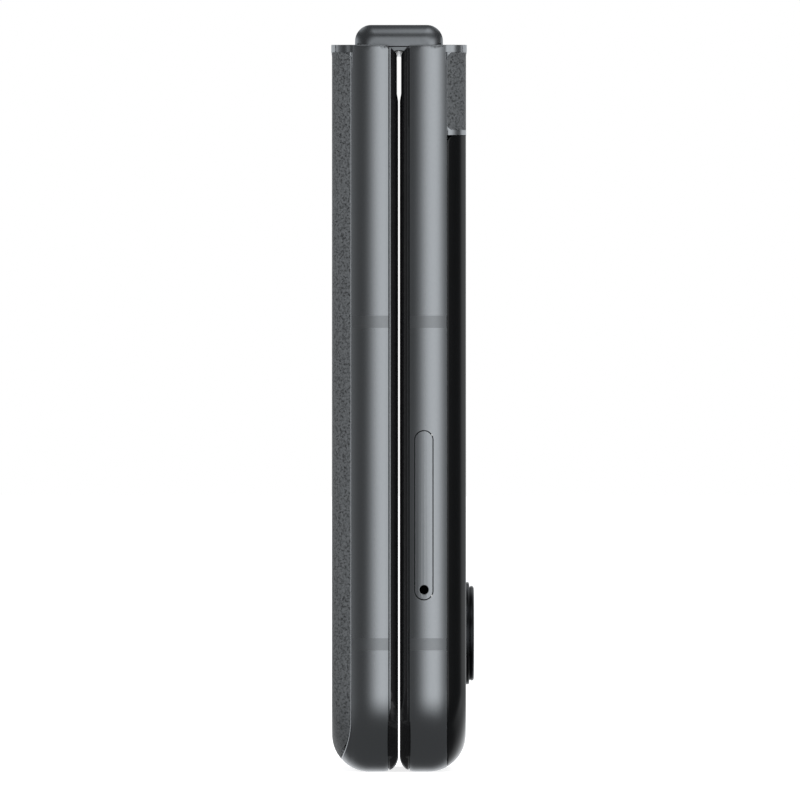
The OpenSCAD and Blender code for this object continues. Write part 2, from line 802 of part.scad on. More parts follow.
// Ring turned about the camera's axis: inner and outer radius, from one depth to another
module turned_ring(ri, ro, y0, y1, chamfer) {
    rotate_extrude($fn = 96) polygon([[ri, y0], [ro, y0], [ro, y1 - chamfer],
        [ro - chamfer, y1], [ri + chamfer / 2, y1], [ri, y1 - chamfer / 2]]);
}
module camera_base_rings() {
    color("#3f4245") cameras() turned_ring(ring_r - 1.6, ring_r, half_t + 0.01,
        half_t + ring_base_h, 0.08);
}
module camera_top_rings() {
    color("#2d2f31") cameras() turned_ring(ring_r - 1.5, ring_r - 0.45,
        half_t + ring_base_h + 0.01, half_t + ring_base_h + ring_top_h, 0.3);
}
module camera_lens_glasses() {
    color("#0b0d12") cameras() translate([0, 0, half_t + 0.02])
        cylinder(r = ring_r - 1.65, h = ring_base_h + 0.2, $fn = 96);
}
module camera_modules() {
    color("#1b1d20") cameras() {
        translate([0, 0, 3.6]) cylinder(r = 4.0, h = glass_in - 0.05 - 3.6, $fn = 64);
        translate([-4.6, -4.6, bay_y0 + 0.6]) cube([9.2, 9.2, 3.6 - bay_y0 - 0.6]);
    }
}
module flash_lens() {
    color("#d8cf9a") flip_side() bar_y(flash_x, cam_z, glass_in - 1.0, glass_in - 0.02, 1.6);
}
board_hinge_gap = 28.67;
board_z1 = deck_top - board_hinge_gap;
lid_split = 14;
lid_gap = 2;
lid_x0 = -9;
lid_h = 21.5;
lid_edge = 1.5;
module main_board() {
    color("#1d4433") flip_side() difference() {
        span([-part_x + 2, bay_y0, 3.0], [part_x, bay_y0 + 0.55, board_z1]);
        span([-30, 0, tray_z0 - 1.2], [-half_w + tray_in + 2, 9, tray_z0 + tray_w + 1.2]);
        bar_y(0, punch_z, 0, 9, punch_d / 2 + 0.3);
        span([30.4, 0, 15], [40, 9, board_z1 + 1]);
    }
}
module shield_cans() {
    color("#a2a6a8") flip_side() {
        lid_z1 = board_z1 - lid_edge;
        shield([lid_x0, lid_z1 - lid_h], [lid_split - lid_gap / 2, lid_z1]);
        shield([lid_split + lid_gap / 2, lid_z1 - lid_h], [part_x - lid_edge, lid_z1]);
    }
}
// Tin lid over a group of chips, open towards the board
module shield(a, b) {
    difference() {
        span([a[0], bay_y0 + 0.56, a[1]], [b[0], bay_y0 + 2.1, b[1]]);
        span([a[0] + 0.2, bay_y0, a[1] + 0.2], [b[0] - 0.2, bay_y0 + 1.9, b[1] - 0.2]);
    }
}
module flip_battery() {
    color("#2b2d30") flip_side() rounded_box([-part_x, cell_y0, board_z1 + 1.5],
        [part_x, back_in - 0.5, foot_z0 - 0.8], 1.2);
}
module inner_camera() {
    color("#15171b") flip_side() {
        bar_y(0, punch_z, display_y + 0.1, bay_y0 + 0.6, punch_d / 2);
        span([-3, bay_y0 + 0.6, punch_z - 3], [3, bay_y0 + 3.2, punch_z + 3]);
    }
}
module earpiece() {
    color("#303336") flip_side() span([-17, bay_y0 + 0.6, 3.2], [-7, bay_y0 + 3.0, 8.4]);
}

tray_t_sim = 0.9;
tray_in = 19;
tray_w = 15.5;
tray_z0 = sim_z + sim_l / 2 - 1.6 - tray_w;
reader_x0 = -inner_w + 0.35;
// Tray seen in section: plate with two card pockets behind the face in the rail
module sim_tray() {
    color("#5c6266") difference() {
        union() {
            slot_x(-half_w, -half_w + rail_wall - 0.05, -side_y, sim_z, sim_l, sim_w);
            span([-half_w + rail_wall - 0.06, -side_y - tray_t_sim / 2, tray_z0],
                [-half_w + tray_in, -side_y + tray_t_sim / 2, tray_z0 + tray_w]);
        }
        span([-half_w + 3, -side_y - 0.3, tray_z0 + 1.2],
            [-half_w + tray_in - 1, -side_y + 2, tray_z0 + tray_w - 1.2]);
        bar_x(-half_w - 1, -half_w + 3, -side_y, eject_z, eject_d / 2);
    }
}
eject_z = sim_z - sim_l / 2 + 1.18;
module sim_gasket() {
    color("#1a1a1b") difference() {
        slot_x(-half_w + rail_wall - 0.04, -half_w + rail_wall + 0.3, -side_y, sim_z - 0.3,
            sim_l - 1.0, sim_w - 0.1);
        span([-half_w, -side_y - tray_t_sim / 2, tray_z0],
            [0, -side_y + tray_t_sim / 2, tray_z0 + tray_w]);
        bar_x(-half_w - 1, -half_w + 3, -side_y, eject_z, eject_d / 2);
    }
}
// Cage that guides the tray
module sim_reader() {
    c = 0.12;
    color("#a2a6a8") difference() {
        span([reader_x0 + 0.6, -side_y - tray_t_sim / 2 - 0.45, tray_z0 - 0.8],
            [-half_w + tray_in + 1.6, -side_y + tray_t_sim / 2 + 0.45, tray_z0 + tray_w + 0.8]);
        span([-half_w - 1, -side_y - tray_t_sim / 2 - c, tray_z0 - c],
            [-half_w + tray_in + 0.2, -side_y + tray_t_sim / 2 + c, tray_z0 + tray_w + c]);
    }
}
// A key: cap in the rail and a flange behind it
module side_key(z, l) {
    slot_x(half_w - rail_wall - 0.02, half_w + key_proud, -side_y, z, l, key_w);
    span([inner_w - 0.55, -side_y - 0.7, z - l / 2 - 0.6],
        [inner_w - 0.02, -side_y + 0.7, z + l / 2 + 0.6]);
}
module power_key() {
    color("#55595c") side_key(power_z, power_l);
}
module volume_key() {
    color("#55595c") side_key(volume_z, volume_l);
}
module key_flex() {
    color("#8a6a2c") {
        span([inner_w - 1.75, -side_y - 0.9, volume_z - volume_l / 2],
            [inner_w - 1.45, -side_y + 0.9, power_z + power_l / 2]);
        for (z = [volume_z - 5, volume_z + 5, power_z])
            bar_x(inner_w - 1.46, inner_w - 0.55 - key_travel - 0.05, -side_y, z, 0.8);
    }
}

lower_frame();
lower_antenna_bands();
leather_back();
back_tray();
lower_bezel();
lower_display_plate();
lower_display_panel();
lower_battery();
usb_board();
usb_port_shell();
usb_tongue();
loudspeaker();
vibration_motor();
lower_microphone();
lower_hinge_arms();
lower_hinge_screws();
spine_cover();
spine_end_caps();
hinge_base_blocks();
hinge_pins();
friction_washers();
idler_pins();
spine_screws();
idler_gears_a();
idler_gears_b();
display_fold();
flip_frame();
flip_antenna_bands();
leather_strip();
strip_tray();
divider_bar();
cover_glass();
cover_display_panel();
flip_bezel();
flip_display_plate();
flip_display_panel();
camera_base_rings();
camera_top_rings();
camera_lens_glasses();
camera_modules();
flash_lens();
main_board();
shield_cans();
flip_battery();
inner_camera();
earpiece();
sim_reader();
key_flex();
flip_hinge_arms();
flip_hinge_screws();
sim_tray();
sim_gasket();
power_key();
volume_key();
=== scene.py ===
import json
import math
import bmesh
import bpy
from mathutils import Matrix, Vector


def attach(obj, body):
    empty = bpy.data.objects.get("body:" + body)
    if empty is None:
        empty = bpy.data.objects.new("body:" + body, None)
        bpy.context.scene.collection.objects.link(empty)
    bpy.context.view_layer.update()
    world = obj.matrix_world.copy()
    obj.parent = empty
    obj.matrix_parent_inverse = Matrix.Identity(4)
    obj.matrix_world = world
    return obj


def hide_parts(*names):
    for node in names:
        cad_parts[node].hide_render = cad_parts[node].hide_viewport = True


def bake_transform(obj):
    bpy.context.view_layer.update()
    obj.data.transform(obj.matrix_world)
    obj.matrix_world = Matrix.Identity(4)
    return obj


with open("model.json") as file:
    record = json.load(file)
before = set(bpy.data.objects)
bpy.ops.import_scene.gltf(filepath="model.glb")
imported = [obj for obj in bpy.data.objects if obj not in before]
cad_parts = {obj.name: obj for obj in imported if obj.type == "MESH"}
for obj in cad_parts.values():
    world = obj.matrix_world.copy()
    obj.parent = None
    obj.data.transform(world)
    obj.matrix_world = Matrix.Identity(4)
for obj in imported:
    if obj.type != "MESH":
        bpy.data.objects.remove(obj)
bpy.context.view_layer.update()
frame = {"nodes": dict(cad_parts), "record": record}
NODES = frame["nodes"]

# Lengths are in mm, and MM turns them into metres. x runs across the phone, y out from the gap
# plane between the closed halves, z up from the free ends to the hinge. A half is drawn for
# y > 0, and its side, 1 for the lower half and -1 for the flip half, turns it to its own side.
MM = 0.001
BODIES = {1: "lower_half", -1: "flip_half"}
HALF_W = 36.995  # half of the width
CORNER_R = 10.0  # corners at the free end, seen from the display
HINGE_END = 85.73  # top of a half
END_R = 0.9  # small corner radius at the cut ends of rails, leather and glass
CUT_END = HINGE_END - END_R  # where that corner of a rail begins
SEAM_Y = 5.65  # height at which the rail ends and leather or glass begins
BACK_Y = 7.9  # flat back of a half
EDGE_R = 2.6  # long edge of the back in the CAD: its radius and where it starts
EDGE_Y = 5.3
SIDE_R = 5.5  # radius of the bulge of a rail across its height
CROWN = {1: 2.85, -1: 3.05}  # height of the widest line of that bulge
STRAIGHT = 0.1  # share of a straight bevel in the long edge above the seam
GLASS_STRAIGHT = 0.54  # the same for the cover glass
CAMERA_Z = 16.08  # height of the cameras and the flash above the free end


# ---------------------------------------------------------------- materials
# Adds a shader node: an input that is a socket is linked, any other is a plain value
def add(tree, kind, inputs, **settings):
    node = tree.nodes.new("ShaderNode" + kind)
    for key, value in settings.items():
        setattr(node, key, value)
    for key, value in inputs.items():
        if isinstance(value, bpy.types.NodeSocket):
            tree.links.new(value, node.inputs[key])
        else:
            node.inputs[key].default_value = value
    return node


def maths(tree, operation, *values):
    return add(tree, "Math", dict(enumerate(values)), operation=operation).outputs[0]


def noise(tree, scale, detail, rough, stretch=(1, 1, 1)):
    coord = add(tree, "TexCoord", {})
    place = add(tree, "Mapping", {"Vector": coord.outputs["Object"], "Scale": stretch})
    tex = add(tree, "TexNoise", {"Vector": place.outputs["Vector"], "Scale": scale,
                                 "Detail": detail, "Roughness": rough})
    return tex.outputs["Fac"]


# Maps the middle range of a noise, a to b, onto low to high
def spread(tree, fac, low, high, a=0.3, b=0.7):
    ramp = add(tree, "MapRange", {"Value": fac, "From Min": a, "From Max": b,
                                  "To Min": low, "To Max": high})
    return ramp.outputs["Result"]


def tint(tree, fac, dark, light):
    factor, first_color, second_color, result_color = 0, 6, 7, 2
    mix = add(tree, "Mix", {factor: fac, first_color: (*dark, 1), second_color: (*light, 1)},
              data_type="RGBA")
    return mix.outputs[result_color]


def bump(tree, bsdf, height, strength, depth):
    node = add(tree, "Bump", {"Height": height, "Strength": strength, "Distance": depth})
    tree.links.new(node.outputs["Normal"], bsdf.inputs["Normal"])


def shader(name):
    mat = bpy.data.materials.new(name)
    mat.use_nodes = True
    tree = mat.node_tree
    return mat, tree, tree.nodes["Principled BSDF"]


def finish(name, dark, light, metal, rough, scale=900, bump_mm=0.002, rough_var=0.05,
           coat=0.0, stretch=(1, 1, 1), strength=0.4):
    mat, tree, bsdf = shader(name)
    fine = noise(tree, scale, 5.0, 0.6, stretch)
    wide = noise(tree, 60, 3.0, 0.5)
    both = maths(tree, "MULTIPLY_ADD", fine, 0.5, maths(tree, "MULTIPLY", wide, 0.5))
    tree.links.new(tint(tree, spread(tree, both, 0, 1, 0.35, 0.65), dark, light),
                   bsdf.inputs["Base Color"])
    tree.links.new(spread(tree, wide, rough - rough_var, rough + rough_var),
                   bsdf.inputs["Roughness"])
    bsdf.inputs["Metallic"].default_value = metal
    if coat:
        bsdf.inputs["Coat Weight"].default_value = coat
        bsdf.inputs["Coat Roughness"].default_value = 0.06
    bump(tree, bsdf, fine, strength, bump_mm * MM)
    return mat


# Pebbled grain: warped cells, with patches in which they run together
def leather_finish(name):
    mat, tree, bsdf = shader(name)
    coord = add(tree, "TexCoord", {}).outputs["Object"]
    warp = add(tree, "TexNoise", {"Vector": coord, "Scale": 1600, "Detail": 2})
    sway = 0.3 * MM
    moved = add(tree, "VectorMath", {0: warp.outputs["Color"], 1: (sway, sway, sway), 2: coord},
                operation="MULTIPLY_ADD")
    cells = add(tree, "TexVoronoi", {"Vector": moved.outputs[0], "Scale": 2700}, feature="F1")
    pebble = spread(tree, cells.outputs["Distance"], 1, 0, 0.2, 0.7)
    patch = noise(tree, 3900, 3.0, 0.6)
    height = maths(tree, "MULTIPLY_ADD", pebble, 0.22, spread(tree, patch, 0, 0.85, 0.34, 0.54))
    tree.links.new(tint(tree, height, (0.018, 0.019, 0.020), (0.100, 0.105, 0.109)),
                   bsdf.inputs["Base Color"])
    tree.links.new(spread(tree, patch, 0.42, 0.62), bsdf.inputs["Roughness"])
    bsdf.inputs["Specular IOR Level"].default_value = 0.4
    bump(tree, bsdf, height, 0.8, 0.05 * MM)
    return mat


RAIL = finish("rail_satin_metal", (0.335, 0.349, 0.362), (0.355, 0.369, 0.382), 1.0, 0.26,
              scale=2600, bump_mm=0.0008, rough_var=0.01, strength=0.2)
# Lighter copy of the rail metal, a painted highlight: it brightens the beads on the lower half's
# lines
RAIL_PAINTED_HIGHLIGHT = finish("rail_metal_painted_highlight", (0.36, 0.375, 0.39), (0.40, 0.415, 0.43), 1.0, 0.24,
              scale=2600, bump_mm=0.0006, rough_var=0.01, strength=0.2)
SPINE = finish("spine_satin_metal", (0.235, 0.246, 0.257), (0.260, 0.271, 0.282), 1.0, 0.25,
               scale=2600, bump_mm=0.0008, rough_var=0.01, strength=0.2)
BAND = finish("band_metallic_paint", (0.290, 0.302, 0.312), (0.310, 0.322, 0.333), 1.0, 0.36,
              scale=1800, bump_mm=0.001, rough_var=0.02, strength=0.2)
LEATHER = leather_finish("pebbled_leather")
PLASTIC = finish("inner_black_plastic", (0.012, 0.013, 0.014), (0.022, 0.023, 0.025), 0.0, 0.55)
RUBBER = finish("bezel_soft_black", (0.003, 0.003, 0.0035), (0.005, 0.005, 0.0055), 0.0, 0.24,
                scale=1800, bump_mm=0.001, rough_var=0.03)
GLASS = finish("cover_glass_black", (0.0012, 0.0014, 0.0016), (0.0020, 0.0022, 0.0025), 0.0, 0.07,
               scale=300, bump_mm=0.0003, rough_var=0.02, strength=0.1)
SCREEN = finish("display_film_black", (0.004, 0.004, 0.005), (0.007, 0.007, 0.008), 0.0, 0.16,
                scale=240, bump_mm=0.0006, rough_var=0.03, coat=0.3, strength=0.15)
LENS = finish("lens_coated_glass", (0.003, 0.004, 0.010), (0.010, 0.012, 0.030), 0.0, 0.04,
              scale=120, bump_mm=0.0002, rough_var=0.01, coat=1.0, strength=0.1)
RING = finish("camera_ring_dark_metal", (0.020, 0.021, 0.023), (0.034, 0.036, 0.038), 1.0, 0.30,
              scale=2400, stretch=(1, 6, 1))
STEEL = finish("brushed_steel", (0.30, 0.31, 0.32), (0.46, 0.47, 0.48), 1.0, 0.32,
               scale=1400, stretch=(1, 1, 8))
HINGE = finish("hinge_steel", (0.20, 0.205, 0.21), (0.34, 0.345, 0.35), 1.0, 0.28,
               scale=1600, stretch=(8, 1, 1))
BRASS = finish("gear_brass", (0.42, 0.30, 0.12), (0.60, 0.44, 0.19), 1.0, 0.30)
TIN = finish("tin_shield", (0.44, 0.45, 0.46), (0.60, 0.61, 0.62), 1.0, 0.38)
CELL = finish("cell_pouch", (0.030, 0.032, 0.035), (0.060, 0.063, 0.067), 0.2, 0.45,
              scale=400, bump_mm=0.02)
BOARD = finish("board_green", (0.006, 0.045, 0.022), (0.012, 0.085, 0.040), 0.0, 0.35, scale=700)
MODULE = finish("module_black", (0.010, 0.011, 0.012), (0.024, 0.025, 0.027), 0.0, 0.5)
FLASH = finish("flash_diffuser", (0.52, 0.46, 0.26), (0.72, 0.66, 0.42), 0.0, 0.2,
               scale=1800, coat=0.5)
FLEX = finish("flex_amber", (0.16, 0.07, 0.012), (0.26, 0.12, 0.025), 0.0, 0.4)
SLOTS = {"rail_metal": RAIL, "band_plastic": BAND, "leather": LEATHER, "inner_plastic": PLASTIC,
         "bezel_rubber": RUBBER, "display_glass": SCREEN, "steel": STEEL, "cell": CELL,
         "board": BOARD, "module_black": MODULE, "tin": TIN, "hinge_steel": HINGE,
         "spine_metal": SPINE, "brass": BRASS, "cover_glass": GLASS, "lens_glass": LENS,
         "ring_metal": RING, "flash_plastic": FLASH, "gasket_rubber": RUBBER,
         "key_metal": RAIL, "flex": FLEX}
SLOT_OF = {entry["node"]: entry["material_slot"] for entry in frame["record"]["subparts"]}
BODY_OF = {member: body for body, members in frame["record"]["behaviour"]["bodies"].items()
           for member in members}
for node_name, node_obj in NODES.items():
    node_obj.data.materials.clear()
    node_obj.data.materials.append(SLOTS[SLOT_OF[node_name]])
    node_obj.data.set_sharp_from_angle(angle=math.radians(30))


# ---------------------------------------------------------------- mesh helpers
def cad_mesh(name):
    bm = bmesh.new()
    bm.from_mesh(NODES[name].data)
    bmesh.ops.remove_doubles(bm, verts=bm.verts, dist=2e-6)
    bmesh.ops.dissolve_limit(bm, angle_limit=math.radians(0.6), verts=bm.verts, edges=bm.edges)
    return bm


def cut_levels(bm, axis, levels):
    normal = [0, 0, 0]
    normal[axis] = 1
    for level in levels:
        spot = [0, 0, 0]
        spot[axis] = level * MM
        bmesh.ops.bisect_plane(bm, geom=bm.verts[:] + bm.edges[:] + bm.faces[:],
                               plane_co=spot, plane_no=normal, dist=1e-7)


# Place of a vertex in mm, as if it were on the lower half
def spot_of(v):
    return v.co.x / MM, abs(v.co.y) / MM, v.co.z / MM


# Vertex at x and z, moved in from the outline by inset along the outward direction out
def vert_at(bm, x, z, out, inset, y):
    return bm.verts.new(((x - out[0] * inset) * MM, y * MM, (z - out[1] * inset) * MM))


# How far an arc of radius r has fallen, t away from its top
def drop(r, t):
    return r - math.sqrt(max(r * r - t * t, 0.0))


# Rise of a cut line of leather or glass near its end, gap before it, that rounds its corner
def rounded(gap):
    return drop(END_R, min(max(END_R - gap, 0.0), END_R))


def smooth(t):
    t = min(max(t, 0.0), 1.0)
    return t * t * (3 - 2 * t)


# The outer surface of a half is one smooth form. The three functions below give its inset from
# the outline at height y: on the long sides, on the free end, and with share w of the free end
# in the corners between them.
def side_inset(y, crown, straight=STRAIGHT):
    if y <= SEAM_Y:
        return drop(SIDE_R, y - crown)
    edge = drop(SIDE_R, SEAM_Y - crown)
    t = min((y - SEAM_Y) / (BACK_Y - SEAM_Y), 1.0)
    return edge + (EDGE_R - edge) * (straight * t + (1 - straight) * drop(1, t))


def end_inset(y):
    back_r, back_from, front_r, front_to = 4.4, 3.5, 1.8, 1.9
    if y > back_from:
        return drop(back_r, min(y, BACK_Y) - back_from)
    if y < front_to:
        return drop(front_r, front_to - y)
    return 0.0


def inset_at(y, w, crown, straight=STRAIGHT):
    return (1 - w) * side_inset(y, crown, straight) + w * end_inset(y)


# Inset of the CAD's own long edge
def cad_inset(y):
    return drop(EDGE_R, y - EDGE_Y) if y > EDGE_Y else 0.0


# How far the smooth side stands in from the CAD's side
def bulge(y, crown):
    inset = side_inset(y, crown)
    return inset if y <= SEAM_Y else max(inset - cad_inset(y), 0.0)


# Where a point is on the outline: distance in from it, outward direction in x and z, and the
# share w of the free end
def station(x, z):
    if z >= CORNER_R:
        return HALF_W - abs(x), (math.copysign(1, x), 0.0), 0.0
    over, down = abs(x) - (HALF_W - CORNER_R), CORNER_R - z
    if over <= 0:
        return z, (0.0, -1.0), 1.0
    turn = math.atan2(down, over) / (math.pi / 2)
    r = math.hypot(over, down)
    return CORNER_R - r, (math.copysign(over / r, x), -down / r), smooth(turn)


def surface_normal(y, w, out, crown, straight, side):
    step = 0.004
    above, below = min(y + step, BACK_Y), y - step
    slope = (inset_at(above, w, crown, straight) - inset_at(below, w, crown, straight))
    slope /= above - below
    return Vector((out[0], side * slope, out[1])).normalized()


# Moves the outermost points of a CAD mesh onto the smooth surface: those on the CAD's own outer
# faces, and any others that stand out of it
def project(bm, side):
    side_from, end_to = 30, 4  # no side face lies nearer the middle, no end face higher
    far, deepest, touch = 9, 3.5, 0.03  # points deeper than deepest stay
    crown = CROWN[side]
    for v in bm.verts:
        x, y, z = spot_of(v)
        if z > CUT_END - touch and y > SEAM_Y + 0.01:
            continue
        u, out, w = station(x, z)
        to_side = abs(abs(x) - (HALF_W - cad_inset(y))) if abs(x) > side_from else far
        to_end = abs(z - end_inset(y)) if z < end_to else far
        change = inset_at(y, w, crown) - u
        if u > deepest or (min(abs(u), to_side, to_end) > touch and change < 0.0):
            continue
        v.co.x -= out[0] * change * MM
        v.co.z -= out[1] * change * MM


# Gives the faces on the smooth surface its exact normals
def true_normals(obj, side):
    first_y, touch = 0.9, 0.003
    mesh = obj.data
    obj.modifiers.clear()
    crown = CROWN[side]
    exact = {}
    for v in mesh.vertices:
        x, y, z = spot_of(v)
        if y < first_y or y > BACK_Y:
            continue
        u, out, w = station(x, z)
        if abs(u - inset_at(y, w, crown)) < touch:
            exact[v.index] = surface_normal(y, w, out, crown, STRAIGHT, side)
    normals = [Vector(n.vector) for n in mesh.corner_normals]
    for face in mesh.polygons:
        if all(i in exact for i in face.vertices):
            for k in face.loop_indices:
                normals[k] = exact[mesh.loops[k].vertex_index]
    mesh.normals_split_custom_set([tuple(n) for n in normals])


# Places round the outline as x, z, outward direction and share w. A form that reaches the free
# end gets one row, from z1 down one side and up the other. A strip gets a row for each side.
def places_along(z0, z1):
    near_cut = (0.0, 0.1, 0.25, 0.45, 0.7, 0.95, 1.4)
    heights = [z1 - gap for gap in near_cut]
    if z0 >= CORNER_R:
        heights += [(z0 + z1) / 2] + [z0 + gap for gap in reversed(near_cut)]
        heights = sorted({h for h in heights if z0 <= h <= z1}, reverse=True)
    else:
        heights += [70, 50, 30, 20, 15, 12.5, 11, 10]
    row = [(-HALF_W, z, (-1.0, 0.0), 0.0) for z in heights]
    if z0 < CORNER_R:
        turns = 30
        for k in range(1, turns + 1):
            a = math.pi / 2 * k / turns
            row.append((-(HALF_W - CORNER_R) - CORNER_R * math.cos(a),
                        CORNER_R - CORNER_R * math.sin(a),
                        (-math.cos(a), -math.sin(a)), smooth(k / turns)))
    mirrored = [(-x, z, (-out[0], out[1]), w) for x, z, out, w in row]
    if z0 >= CORNER_R:
        return [row, mirrored]
    middle = [((HALF_W - CORNER_R) * (k / 4 - 1), 0.0, (0.0, -1.0), 1.0) for k in range(1, 8)]
    return [row + middle + mirrored[::-1]]


# Height y at which the line start(z) crosses the surface at one place of the outline, found by
# halving the range
def crossing(start, z, out, w, crown, straight=STRAIGHT):
    low, high = 0.5, BACK_Y
    for _ in range(30):
        guess = (low + high) / 2
        if guess < start(z - out[1] * inset_at(guess, w, crown, straight)):
            low = guess
        else:
            high = guess
    return high


def piece(name, bm, mat, body=None, angle=32, turn_out=True):
    if turn_out:
        bmesh.ops.recalc_face_normals(bm, faces=bm.faces)
    mesh = bpy.data.meshes.new(name)
    bm.to_mesh(mesh)
    bm.free()
    mesh.materials.append(mat)
    mesh.shade_smooth()
    mesh.set_sharp_from_angle(angle=math.radians(angle))
    obj = bpy.data.objects.new(name, mesh)
    bpy.context.scene.collection.objects.link(obj)
    if body:
        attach(obj, body)
    return obj


def weigh_normals(obj):
    weighted = obj.modifiers.new("weighted", "WEIGHTED_NORMAL")
    weighted.keep_sharp = True
    weighted.weight = 60


# Piece made from the mesh of a CAD node, which keeps the node's winding and takes its place
def stand_in(name, node, mat, bm):
    obj = piece(name, bm, mat, BODY_OF[node], turn_out=False)
    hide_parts(node)
    weigh_normals(obj)
    return obj


# Slim bead that follows the line start(z) on the surface of a half, from z0 to z1. half is half
# its width, rise its height, and crest the share of its width that is flat on top. Its section
# lists places across, in shares of half, and heights up from the surface in mm.
def rim(name, side, mat, start, z0, z1, half=0.055, rise=0.045, crest=0.12):
    crown, reach = CROWN[side], 0.02
    section = ((-1, -0.01), (-crest, rise), (crest, rise), (1, -0.01), (0.5, -0.15), (-0.5, -0.15))
    bm = bmesh.new()
    for group in places_along(z0, z1):
        rows = []
        for x, z, out, w in group:
            y = crossing(start, z, out, w, crown)
            lean = 0.0
            if w == 0.0:
                za, zb = min(z + reach, z1), max(z - reach, z0)
                lean = (crossing(start, za, out, w, crown)
                        - crossing(start, zb, out, w, crown)) / (za - zb)
            scale = 1 / math.hypot(1, lean)
            row = []
            for across, up in section:
                at_y = y + across * half * scale
                at_z = z - across * half * scale * lean
                row.append(vert_at(bm, x, at_z, out, inset_at(at_y, w, crown) - up, side * at_y))
            rows.append(row)
        for a, b in zip(rows, rows[1:]):
            for k in range(len(section)):
                j = (k + 1) % len(section)
                bm.faces.new((a[k], a[j], b[j], b[k]))
        bm.faces.new(rows[0])
        bm.faces.new(rows[-1])
    obj = piece(name, bm, mat, BODIES[side], 22)


# Shell on the back of a half from z0 to z1, from the line start(z) round to the flat face. depth
# is how far its outside lies under the smooth surface, a number or a function of y, thick its
# wall, and soft how far its first edge is drawn in. Samples list the way from the line to the
# flat face, as a share, and that extra inset.
def back_shell(name, side, mat, start, z0, z1, depth, thick, straight=STRAIGHT, soft=0.08):
    crown, steps = CROWN[side], 16
    depth_at = depth if callable(depth) else lambda y: depth
    samples = [(0.0, soft), (0.012, soft * 0.35), (0.04, 0.0)]
    samples += [(math.sin(math.pi / 2 * k / steps), 0.0) for k in range(1, steps + 1)]
    last = len(samples) - 1
    bm = bmesh.new()
    parts = []
    for group in places_along(z0, z1):
        part = []
        for x, z, out, w in group:
            first = crossing(start, z, out, w, crown, straight)
            outer, inner = [], []
            for t, extra in samples:
                y = first + (BACK_Y - first) * t
                n = Vector((0, 1, 0))
                if y < BACK_Y - 0.001:
                    n = surface_normal(y, w, out, crown, straight, 1)
                inset = inset_at(y, w, crown, straight) + extra
                flat = math.hypot(n.x, n.z)
                for column, deep in ((outer, depth_at(y)), (inner, depth_at(y) + thick)):
                    column.append(vert_at(bm, x, z, out, inset + deep * flat,
                                          side * (y - deep * n.y)))
            part.append((outer, inner))
        parts.append(part)
    for part in parts:
        for (a, ia), (b, ib) in zip(part, part[1:]):
            for k in range(last):
                bm.faces.new((a[k], a[k + 1], b[k + 1], b[k]))
                bm.faces.new((ia[k], ib[k], ib[k + 1], ia[k + 1]))
            bm.faces.new((a[0], b[0], ib[0], ia[0]))
        for a, ia in (part[0], part[-1]):
            for k in range(last):
                bm.faces.new((a[k], ia[k], ia[k + 1], a[k + 1]))
    # The flat back, and its edge at each cut
    left, right = parts[0], parts[-1]
    if len(parts) == 1:
        loop, cuts = left, ((left[0], left[-1]),)
    else:
        loop, cuts = left + right[::-1], ((left[0], right[0]), (left[-1], right[-1]))
    for level in (0, 1):
        bm.faces.new([pair[level][last] for pair in loop])
    for a, b in cuts:
        bm.faces.new((a[0][last], b[0][last], b[1][last], a[1][last]))
    obj = piece(name, bm, mat, BODIES[side], 35)
    weigh_normals(obj)
    return obj


# Puts the facets of the round corners on their true circle
def true_corners(bm):
    facet = math.radians(7.5)  # angle of a facet in the CAD
    for v in bm.verts:
        over = abs(v.co.x) / MM - (HALF_W - CORNER_R)
        down = CORNER_R - v.co.z / MM
        if over <= 0.01 or down <= 0.01:
            continue
        turn = math.atan2(down, over) % facet - facet / 2
        grow = math.cos(turn) / math.cos(facet / 2)
        v.co.x += math.copysign(over * (grow - 1) * MM, v.co.x)
        v.co.z -= down * (grow - 1) * MM


# Draws the sides of a CAD mesh in to the bulge, and less and less of it toward still_x
def bulge_sides(bm, crown):
    still_x = 34.9
    for v in bm.verts:
        x, y, z = (c / MM for c in v.co)
        depth = (abs(x) - still_x) / (HALF_W - still_x)
        if depth <= 0:
            continue
        share = min(depth, 1.0)
        if z < CORNER_R:
            over = max(abs(x) - (HALF_W - CORNER_R), 0.0)
            share *= (over / math.hypot(over, CORNER_R - z)) ** 2
        v.co.x -= math.copysign(bulge(abs(y), crown) * share * MM, x)


# Bevels the sharp edges that keep() accepts by their two ends, in mm
def soft_edges(bm, keep, width, segments=3):
    sharp = math.radians(40)
    bm.normal_update()
    chosen = [e for e in bm.edges
              if len(e.link_faces) == 2 and e.calc_face_angle(0) >= sharp
              and keep(e.verts[0].co / MM) and keep(e.verts[1].co / MM)]
    if chosen:
        bmesh.ops.bevel(bm, geom=chosen, offset=width * MM, offset_type="OFFSET",
                        segments=segments, profile=0.5, affect="EDGES", clamp_overlap=False)


# Rings about an axis along Y through x and z: the profile lists radius and height
def rings(bm, profile, x, z, side, segments):
    turns = [2 * math.pi * i / segments for i in range(segments)]
    return [[bm.verts.new(((x + r * math.cos(t)) * MM, side * h * MM, (z + r * math.sin(t)) * MM))
             for t in turns] for r, h in profile]


def join_rings(bm, a, b):
    for i in range(len(a)):
        j = (i + 1) % len(a)
        bm.faces.new((a[i], a[j], b[j], b[i]))


# Ring of revolution whose profile closes on itself
def lathe(bm, profile, x, z, side, segments=128):
    rows = rings(bm, profile, x, z, side, segments)
    for a, b in zip(rows, rows[1:] + rows[:1]):
        join_rings(bm, a, b)


# Joins rings in a row and caps the first and the last
def capped(bm, rows):
    for a, b in zip(rows, rows[1:]):
        join_rings(bm, a, b)
    bm.faces.new(rows[0])
    bm.faces.new(rows[-1])


# Solid of revolution, capped at both ends of its profile
def turned(bm, profile, x, z, side, segments=128):
    capped(bm, rings(bm, profile, x, z, side, segments))


